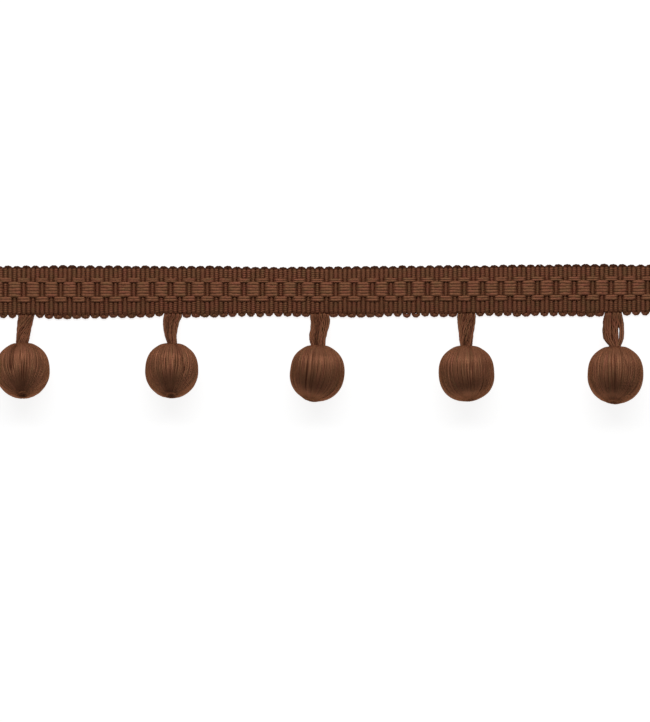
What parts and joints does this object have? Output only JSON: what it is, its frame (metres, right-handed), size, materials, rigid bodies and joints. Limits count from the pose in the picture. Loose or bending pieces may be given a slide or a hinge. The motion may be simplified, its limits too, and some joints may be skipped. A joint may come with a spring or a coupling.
{
  "type": "beaded fringe trim",
  "caption": "Length of woven heading with scalloped edges, from which thread-wound beads hang on short skeins of thread; made to be sewn or glued along an edge.",
  "frame": {"origin": "middle of the heading's flat back, on the surface the trim lies on", "axes": "+X along the heading, +Y across it away from the beads, +Z out of its face"},
  "size_m": [0.264, 0.0506, 0.0202],
  "materials": {
    "heading_yarn": "ribbed gimp cord and flat floats, soft sheen",
    "hanger_yarn": "loose fine thread, soft sheen",
    "bead_yarn": "closely wound thread, satin sheen along the turns"
  },
  "bodies": {
    "root": {"heading": "heading_yarn", "hanger_1": "hanger_yarn", "hanger_2": "hanger_yarn", "hanger_3": "hanger_yarn", "hanger_4": "hanger_yarn", "hanger_5": "hanger_yarn", "bead_1": "bead_yarn", "bead_2": "bead_yarn", "bead_3": "bead_yarn", "bead_4": "bead_yarn", "bead_5": "bead_yarn"}
  },
  "joints": []
}
